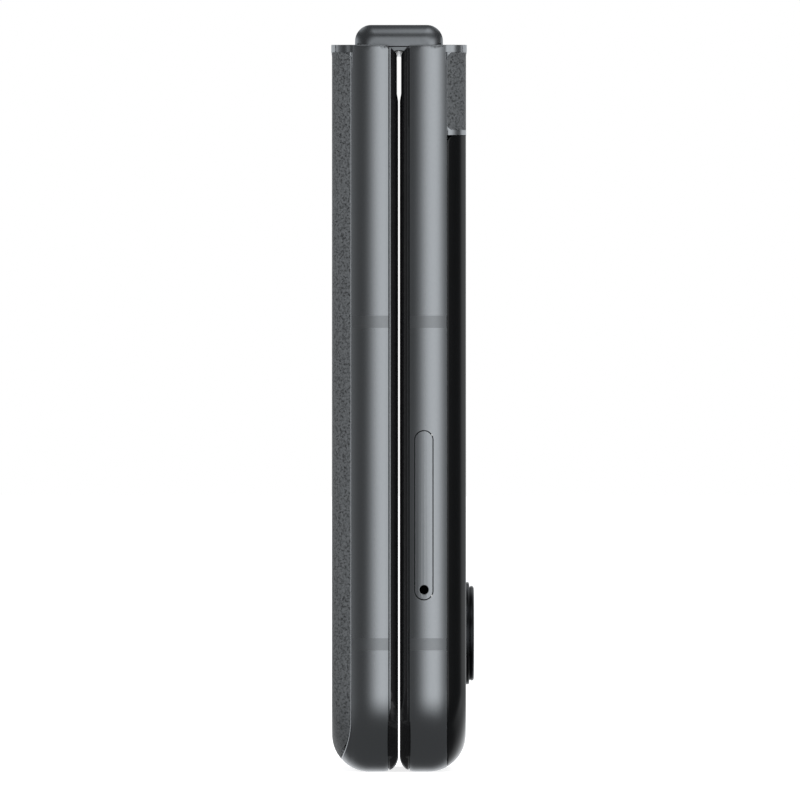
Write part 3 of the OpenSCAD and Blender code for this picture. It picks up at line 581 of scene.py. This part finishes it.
# ---------------------------------------------------------------- rails, leather, glass, flash
# Heights at which CAD meshes are cut, so that they can bend
LEVELS = [1.35, 1.6, 1.9, 2.25, 2.6, 2.95, 3.3, 3.65, 4.0, 4.35, 4.7, 5.0, 5.3, 5.5, 5.65,
          5.85, 6.05, 6.3, 6.55, 6.8, 7.05, 7.3, 7.5, 7.7]
ROWS = [0.15, 0.4, 0.75, 1.15, 1.6, 2.1, 2.7, 3.3, 4.0, 4.7, 5.4, 6.1, 6.9, 7.7, 8.5, 9.3, 10.0,
        10.8, 11.8, 13.0, 15.0, 18.0, 76.0, 80.0, 83.0]
COLUMNS = [26.995, 27.9, 28.8, 29.7, 30.6, 31.5, 32.4, 33.2, 34.0, 34.8, 35.5]
LEATHER_TOP = 84.83
LEATHER_T = 0.42
STRIP_TOP = 84.81
STRIP_FOOT = 75.70
GLASS_TOP = 75.04
GLASS_T = 0.5
PLATE_T = 0.3  # trays under the leather
PLATE_Y = 5.62  # where their metal shows, at the corners that the leather leaves
PLATE_TOP = 84.9
PLATE_DEPTH = 0.05
RIM_TOP = 84.78  # end of the beads on the leather's lines
BEZEL_Y = 1.06  # line between rail and bezel
BEAD_TOP = 85.4
FLASH_X = -2.625
FLASH_WINDOW = [(1.6, 7.6), (1.6, 7.87), (1.52, 7.905), (0.4, 7.915)]  # radius, height


# Lines at which the pieces of the back begin, as height y at place z. The leather's climbs
# toward the free end, and its tray's leaves the spine room near the hinge.
def seam_line(z):
    climb_r, climb_from = 10.3, 6.2
    return SEAM_Y + drop(climb_r, max(climb_from - z, 0.0))


def leather_line(z):
    return seam_line(z) + rounded(LEATHER_TOP - z)


def tray_line(z):
    room_y, room_from, room_over = 7.05, 73.5, 2
    return seam_line(z) + (room_y - SEAM_Y) * smooth((z - room_from) / room_over)


def strip_line(z):
    return SEAM_Y + rounded(STRIP_TOP - z) + rounded(z - STRIP_FOOT)


def glass_line(z):
    return SEAM_Y + 0.03 + rounded(GLASS_TOP - z)


# The lip at the hinge end stands out a little more from the seam on
def lip_skin(y):
    return -0.006 - 0.094 * smooth((y - 5.45) / 1.2)


# Hinge end of a rail. Its CAD corner of radius END_R becomes one of radius sharp, and the lip's
# walls stand in under the skin of the lip, clear of the spine's end caps when the phone opens.
def shape_hinge_end(bm, side):
    sharp = 0.25
    wall_x = 35.76  # nearest that a wall of the lip comes to the spine
    room = 0.2  # what the walls leave for the skin
    clear_y = 6.9  # above this height the spine isn't near
    turn_y = 7.0  # above this height a wall has become the lip's back
    touch, hair = 0.03, 0.01  # tolerances
    for v in bm.verts:
        x, y, z = spot_of(v)
        x = abs(x)
        if z < CUT_END - hair or x < wall_x:
            continue
        across, up = x - (HALF_W - END_R), z - CUT_END
        reach = math.hypot(across, up)
        if y < SEAM_Y + hair and across >= 0 and abs(reach - END_R) < touch:
            x = HALF_W - sharp + sharp * across / reach - side_inset(y, CROWN[side])
            v.co.x = math.copysign(x * MM, v.co.x)
            v.co.z = (HINGE_END - sharp + sharp * up / reach) * MM
        elif y > SEAM_Y - hair:
            x -= bulge(y, CROWN[side]) + room
            v.co.x = math.copysign((max(x, wall_x) if y < clear_y else x) * MM, v.co.x)
    for v in bm.verts:
        if v.co.z > (CUT_END - hair) * MM and abs(v.co.y) > turn_y * MM:
            v.co.y -= side * room * MM


for node, side in (("lower_frame", 1), ("flip_frame", -1)):
    bm = cad_mesh(node)
    cut_levels(bm, 1, [side * v for v in LEVELS])
    cut_levels(bm, 2, ROWS)
    cut_levels(bm, 0, [sign * v for v in COLUMNS for sign in (1, -1)])
    project(bm, side)
    shape_hinge_end(bm, side)
    lip = back_shell("hinge_lip_" + node, side, RAIL, lambda z: EDGE_Y, CUT_END + 0.02, HINGE_END,
                     lip_skin, thick=0.5, soft=0.0)
    lip.modifiers.clear()
    bevel = lip.modifiers.new("bevel", "BEVEL")
    bevel.width = 0.12 * MM
    bevel.segments = 3
    bevel.limit_method = "ANGLE"
    bevel.angle_limit = math.radians(50)
    lip.modifiers.new("weighted", "WEIGHTED_NORMAL")
    true_normals(stand_in("rail_" + node, node, RAIL, bm), side)
for node, side in (("lower_antenna_bands", 1), ("flip_antenna_bands", -1)):
    bm = cad_mesh(node)
    cut_levels(bm, 1, [side * v for v in LEVELS])
    project(bm, side)
    true_normals(stand_in("visual_" + node, node, BAND, bm), side)

skin = back_shell("stitched_leather_back", 1, LEATHER, leather_line, 0, LEATHER_TOP,
                  depth=0.0, thick=LEATHER_T)
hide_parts("leather_back")
under = back_shell("leather_back_tray", 1, PLASTIC, tray_line, 0, 84.6,
                   depth=0.46, thick=PLATE_T)
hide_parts("back_tray")
corner = back_shell("leather_corner_metal", 1, RAIL, lambda z: PLATE_Y, 83.4, PLATE_TOP,
                    depth=PLATE_DEPTH, thick=PLATE_T)
skin = back_shell("leather_strip_skin", -1, LEATHER, strip_line, STRIP_FOOT, STRIP_TOP,
                  depth=0.0, thick=LEATHER_T)
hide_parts("leather_strip")
corner = back_shell("strip_corner_metal", -1, RAIL, lambda z: PLATE_Y, 75.2, PLATE_TOP,
                    depth=PLATE_DEPTH, thick=PLATE_T)
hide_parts("strip_tray")
bar = back_shell("divider_bar_polished", -1, RAIL, lambda z: SEAM_Y, 75.1, 75.65,
                 depth=-0.02, thick=0.5)
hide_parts("divider_bar")
glass = back_shell("cover_glass_curved", -1, GLASS, glass_line, 0, GLASS_TOP,
                   depth=0.0, thick=GLASS_T, straight=GLASS_STRAIGHT)
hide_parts("cover_glass")
under = back_shell("cover_display_sheet", -1, SCREEN, lambda z: 6.0, 0, 74.2,
                   depth=GLASS_T + 0.06, thick=0.12, straight=GLASS_STRAIGHT)
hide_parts("cover_display_panel")

# The beads catch real edge reflections; those of the lower half also carry the painted highlight
# of the lighter metal
rim("leather_seam_rim", 1, RAIL_PAINTED_HIGHLIGHT, leather_line, 0, RIM_TOP, half=0.075, rise=0.06)
rim("strip_seam_rim", -1, RAIL, strip_line, STRIP_FOOT + 0.05, RIM_TOP)
rim("glass_seam_rim", -1, RAIL, lambda z: 5.61, 0, GLASS_TOP, half=0.04, rise=0.02, crest=0.5)
rim("lower_bezel_bead", 1, RAIL_PAINTED_HIGHLIGHT, lambda z: BEZEL_Y, 0, BEAD_TOP, half=0.08, rise=0.03, crest=0.7)
rim("flip_bezel_bead", -1, RAIL, lambda z: BEZEL_Y, 0, BEAD_TOP, half=0.04, rise=0.02, crest=0.6)

bm = bmesh.new()
turned(bm, FLASH_WINDOW, FLASH_X, CAMERA_Z, -1, 64)
flash = piece("flash_lens_window", bm, FLASH, "flip_half")
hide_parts("flash_lens")


# ---------------------------------------------------------------- bezels, keys, tray
# Mesh of a CAD node on the sides, with its outside drawn in to the bulge
def shaped(node, side):
    bm = cad_mesh(node)
    cut_levels(bm, 1, [side * v for v in LEVELS])
    cut_levels(bm, 2, ROWS)
    true_corners(bm)
    bulge_sides(bm, CROWN[side])
    return bm


# The bezels reach a little way under the rails, up to bezel_top
bezel_from, bezel_top = 1.1, 1.24
for node, side in (("lower_bezel", 1), ("flip_bezel", -1)):
    bm = shaped(node, side)
    for v in bm.verts:
        if abs(v.co.y) > bezel_from * MM:
            v.co.y = side * bezel_top * MM
    soft_edges(bm, lambda co: abs(co.x) > 36.0 or co.z < 2.0, width=0.30, segments=4)
    stand_in("soft_" + node, node, RUBBER, bm)
for node in ("sim_tray", "power_key", "volume_key"):
    bm = shaped(node, -1)
    soft_edges(bm, lambda co: abs(co.x) > 35.9, width=0.07)
    stand_in("visual_" + node, node, RAIL, bm)


# ---------------------------------------------------------------- cameras
# Profiles list radius and height
BASE_RING = [(5.64, 7.75), (6.05, 7.75), (6.05, 8.22), (6.01, 8.31), (5.92, 8.35), (5.68, 8.35),
             (5.64, 8.30)]
TOP_RING = [(4.57, 7.95), (5.58, 7.95), (5.58, 8.40), (5.50, 8.44), (5.50, 8.50), (5.60, 8.54),
            (5.60, 8.70), (5.56, 8.80), (5.42, 8.90), (5.30, 8.93), (5.02, 8.93), (4.95, 8.90),
            (4.72, 8.66), (4.57, 8.60)]
LENS_DOME = [(4.52, 7.95), (4.52, 8.42), (4.44, 8.50), (3.6, 8.56), (2.0, 8.60), (0.5, 8.61)]
CAMERAS_X = (24.5, 9.0)

for index, cam_x in enumerate(CAMERAS_X):
    bm = bmesh.new()
    lathe(bm, BASE_RING, cam_x, CAMERA_Z, -1)
    base = piece(f"camera_base_ring_{index}", bm, RING, "flip_half")
    bm = bmesh.new()
    lathe(bm, TOP_RING, cam_x, CAMERA_Z, -1)
    top = piece(f"camera_top_ring_{index}", bm, RING, "flip_half")
    bm = bmesh.new()
    turned(bm, LENS_DOME, cam_x, CAMERA_Z, -1)
    lens = piece(f"camera_lens_{index}", bm, LENS, "flip_half")
    if index == 0:
        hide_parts("camera_base_rings")
        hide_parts("camera_top_rings")
        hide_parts("camera_lens_glasses")


# ---------------------------------------------------------------- spine
SPINE_HW = 5.18
SPINE_TOP = 88.08
SPINE_R = 1.9  # its upper long edges
SPINE_X = 35.625  # its ends
CAP_R = 2.25  # curve of a cap from its rim to its flat middle
CAP_SPAN = 1.75


# Outline of the spine seen along X, its top and sides drawn in by inset: two round upper edges,
# then the underside with its groove for the fold
def spine_outline(inset):
    w, top, r = SPINE_HW - inset, SPINE_TOP - inset, max(SPINE_R - inset * 0.6, 0.25)
    pts = []
    for first, side in ((0.0, 1), (math.pi / 2, -1)):
        for k in range(13):
            t = first + math.pi / 2 * k / 12
            pts.append((side * (w - r) + r * math.cos(t), top - r + r * math.sin(t)))
    pts += [(-w, 85.6), (-w + 0.35, 85.25), (-w + 1.0, 85.1), (-0.7, 85.0), (-0.3, 85.1),
            (0.3, 85.1), (0.7, 85.0), (w - 1.0, 85.1), (w - 0.35, 85.25), (w, 85.6)]
    return pts


# End cap of the spine, rounded like a pillow from its rim to a flat middle
def end_cap(bm, sign):
    seat, steps = 0.89, 14
    slices = [(0.0, seat)]
    for k in range(steps + 1):
        inset = CAP_SPAN * (k / steps) ** 1.4
        slices.append((inset, drop(CAP_R, CAP_SPAN - inset)))
    capped(bm, [[bm.verts.new((sign * (SPINE_X - depth) * MM, y * MM, z * MM))
                 for y, z in spine_outline(inset)] for inset, depth in slices])


bm = bmesh.new()
for sign in (1, -1):
    end_cap(bm, sign)
caps = piece("spine_end_caps_rounded", bm, SPINE, "spine")
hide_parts("spine_end_caps")
bm = cad_mesh("spine_cover")
soft_edges(bm, lambda co: abs(co.x) > 34.0, width=0.08)
stand_in("spine_cover_satin", "spine_cover", SPINE, bm)


# ---------------------------------------------------------------- folding display
FILM_Y = 0.45  # from the gap plane to the film
FILM_T = 0.24
FILM_HW = 34.55
FILM_FOOT = 2.45
FILM_CORNER = 7.6
FILM_CROWN = 85.0  # top of the fold


# One half of the film: flat on its half, then a small turn up to the crown of the fold. Its rows
# lie closest where it bends, at the corners of the display and at the fold.
def film(bm, side):
    across, turns = 16, 8
    flat = [FILM_FOOT, 2.9, 3.6, 4.6, 6.0, 8.0, 10.0, 40.0, 70.0, 77.5]
    flat += [77.5 + 5.7 * k / 6 for k in range(1, 7)]
    flat += [83.2 + 1.25 * k / 10 for k in range(1, 11)]
    centre = FILM_CROWN - FILM_Y
    angles = [math.pi / 2 * k / turns for k in range(turns + 1)]
    front_line = [(FILM_Y, z) for z in flat]
    front_line += [(FILM_Y * math.cos(a), centre + FILM_Y * math.sin(a)) for a in angles[1:]]
    rear_y = FILM_Y + FILM_T
    rear_line = [(rear_y, z) for z in flat[:-1]]
    rear_line += [(rear_y * math.cos(a), centre + rear_y * math.sin(a)) for a in angles]
    sheets = []
    for line in (front_line, rear_line):
        rows = []
        for y, z in line:
            half = FILM_HW - drop(FILM_CORNER, max(FILM_FOOT + FILM_CORNER - z, 0.0))
            rows.append([bm.verts.new((half * (2 * k / across - 1) * MM, side * y * MM, z * MM))
                         for k in range(across + 1)])
        for a, b in zip(rows, rows[1:]):
            for i in range(across):
                bm.faces.new((a[i], a[i + 1], b[i + 1], b[i]))
        sheets.append(rows)
    front, rear = sheets
    for k in range(len(front) - 1):
        for i in (0, across):
            bm.faces.new((front[k][i], front[k + 1][i], rear[k + 1][i], rear[k][i]))
    for k in (0, -1):
        for i in range(across):
            bm.faces.new((front[k][i], front[k][i + 1], rear[k][i + 1], rear[k][i]))


for side, body, panel in ((1, "lower_half", "lower_display_panel"),
                          (-1, "flip_half", "flip_display_panel")):
    bm = bmesh.new()
    film(bm, side)
    sheet = piece("display_film_" + body, bm, SCREEN)
    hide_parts(panel)
    if side == 1:
        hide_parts("display_fold")
    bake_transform(sheet)


# ---------------------------------------------------------------- floor, light, camera
# From here on lengths are in metres
FLOOR_HALF = 12
LIGHT_COLOR = (0.97, 0.985, 1.0)
MIDDLE = (0, 0, 0.045)  # where the lights aim


def mix_by(tree, fac, first, second):
    return add(tree, "MixShader", {0: fac, 1: first, 2: second}).outputs[0]


def background(tree, color, strength):
    return add(tree, "Background", {"Color": (*color, 1), "Strength": strength}).outputs[0]


# Pale floor: white to the camera but for the phone's shadow, and not there for reflections
bm = bmesh.new()
bm.faces.new([bm.verts.new((x * FLOOR_HALF, y * FLOOR_HALF, 0))
              for x, y in ((-1, -1), (1, -1), (1, 1), (-1, 1))])
floor_mesh = bpy.data.meshes.new("studio_floor")
bm.to_mesh(floor_mesh)
bm.free()
floor = bpy.data.objects.new("studio_floor", floor_mesh)
bpy.context.scene.collection.objects.link(floor)
mat = bpy.data.materials.new("studio_floor_pale")
mat.use_nodes = True
tree = mat.node_tree
tree.nodes.clear()
path = add(tree, "LightPath", {})
pale = add(tree, "BsdfDiffuse", {"Color": (0.60, 0.60, 0.60, 1)}).outputs[0]
glow = add(tree, "Emission", {"Color": (1, 1, 1, 1), "Strength": 0.8}).outputs[0]
lift = add(tree, "AddShader", {0: pale, 1: glow}).outputs[0]
absent = add(tree, "BsdfTransparent", {}).outputs[0]
others = mix_by(tree, path.outputs["Is Glossy Ray"], pale, absent)
add(tree, "OutputMaterial", {"Surface": mix_by(tree, path.outputs["Is Camera Ray"], others, lift)})
floor_mesh.materials.append(mat)

# World: white to the camera and through glass, a soft light, and softboxes in reflections only
world = bpy.data.worlds.new("studio")
bpy.context.scene.world = world
world.use_nodes = True
tree = world.node_tree
tree.nodes.clear()
path = add(tree, "LightPath", {})
coord = add(tree, "TexCoord", {})
split = add(tree, "SeparateXYZ", {0: coord.outputs["Generated"]})


# Strength over 0 to 1 through key points whose first and last are at the ends
def by_curve(value, points):
    highest = 2.0  # no strength is over this
    node = add(tree, "FloatCurve", {"Value": value})
    curve = node.mapping.curves[0]
    curve.points[0].location = (0.0, points[0][1] / highest)
    curve.points[1].location = (1.0, points[-1][1] / highest)
    for spot, level in points[1:-1]:
        curve.points.new(spot, level / highest)
    for point in curve.points:
        point.handle_type = "AUTO_CLAMPED"
    node.mapping.update()
    return maths(tree, "MULTIPLY", node.outputs[0], highest)


# Round the horizon in degrees, from 0 where -X is to 90 where -Y is, and upward by the sine
AROUND = ((-180, 1.1), (-150, 1.0), (-90, 1.0), (-75, 0.55), (-58, 0.24), (-45, 0.14),
          (-30, 0.11), (-20, 0.18), (-10, 0.44), (0, 0.84), (9, 1.14), (17, 1.27), (27, 1.27),
          (37, 0.92), (48, 0.42), (58, 0.16), (68, 0.12), (80, 0.25), (95, 1.0), (150, 1.0),
          (180, 1.1))
UPRIGHT = ((-1, 0.0), (-0.72, 0.0), (-0.55, 0.25), (-0.36, 0.72), (-0.2, 1.0), (0.15, 1.0),
           (0.3, 0.5), (0.45, 0.08), (0.62, 0.3), (0.74, 0.95), (0.86, 0.9), (0.95, 0.2), (1, 0.1))
REST_LEVEL = 0.115  # strength where UPRIGHT leaves none
turn = maths(tree, "ARCTAN2", maths(tree, "MULTIPLY", split.outputs["Y"], -1.0),
             maths(tree, "MULTIPLY", split.outputs["X"], -1.0))
around = by_curve(maths(tree, "ADD", maths(tree, "DIVIDE", turn, 2 * math.pi), 0.5),
                  [((degrees + 180) / 360, level) for degrees, level in AROUND])
upright = by_curve(maths(tree, "ADD", maths(tree, "MULTIPLY", split.outputs["Z"], 0.5), 0.5),
                   [((sine + 1) / 2, level) for sine, level in UPRIGHT])
lit = maths(tree, "ADD", maths(tree, "MULTIPLY", around, upright),
            maths(tree, "MULTIPLY", maths(tree, "SUBTRACT", 1.0, upright), REST_LEVEL))
others = mix_by(tree, path.outputs["Is Glossy Ray"], background(tree, LIGHT_COLOR, 0.55),
                background(tree, (0.96, 0.98, 1.0), lit))
clear = maths(tree, "MAXIMUM", path.outputs["Is Camera Ray"], path.outputs["Is Transmission Ray"])
add(tree, "OutputWorld", {"Surface": mix_by(tree, clear, others,
                                            background(tree, (1, 1, 1), 1.0))})


def softbox(name, place, wide, high, watts):
    data = bpy.data.lights.new(name, "AREA")
    data.shape = "RECTANGLE"
    data.size = wide
    data.size_y = high
    data.energy = watts
    data.color = LIGHT_COLOR
    obj = bpy.data.objects.new(name, data)
    bpy.context.scene.collection.objects.link(obj)
    obj.location = place
    direction = Vector(MIDDLE) - Vector(place)
    obj.rotation_euler = direction.to_track_quat("-Z", "Y").to_euler()
    obj.visible_camera = False
    obj.visible_glossy = False


softbox("key_softbox", (-0.62, -0.24, 0.10), 0.18, 0.62, 3.2)
softbox("fill_softbox", (-0.50, 0.62, 0.42), 0.50, 0.50, 2.0)
softbox("top_softbox", (0.05, -0.10, 0.75), 0.60, 0.60, 3.0)

camera_data = bpy.data.cameras.new("camera")
camera_data.lens = 1600
camera_data.sensor_width = 36
camera_data.clip_start = 0.05
camera_data.clip_end = 60
camera = bpy.data.objects.new("camera", camera_data)
bpy.context.scene.collection.objects.link(camera)
camera.location = (-4.225, -0.000118, 0.04388)
camera.rotation_euler = (math.pi / 2, 0, -math.pi / 2)
bpy.context.scene.camera = camera
bpy.context.scene.view_settings.view_transform = "Standard"
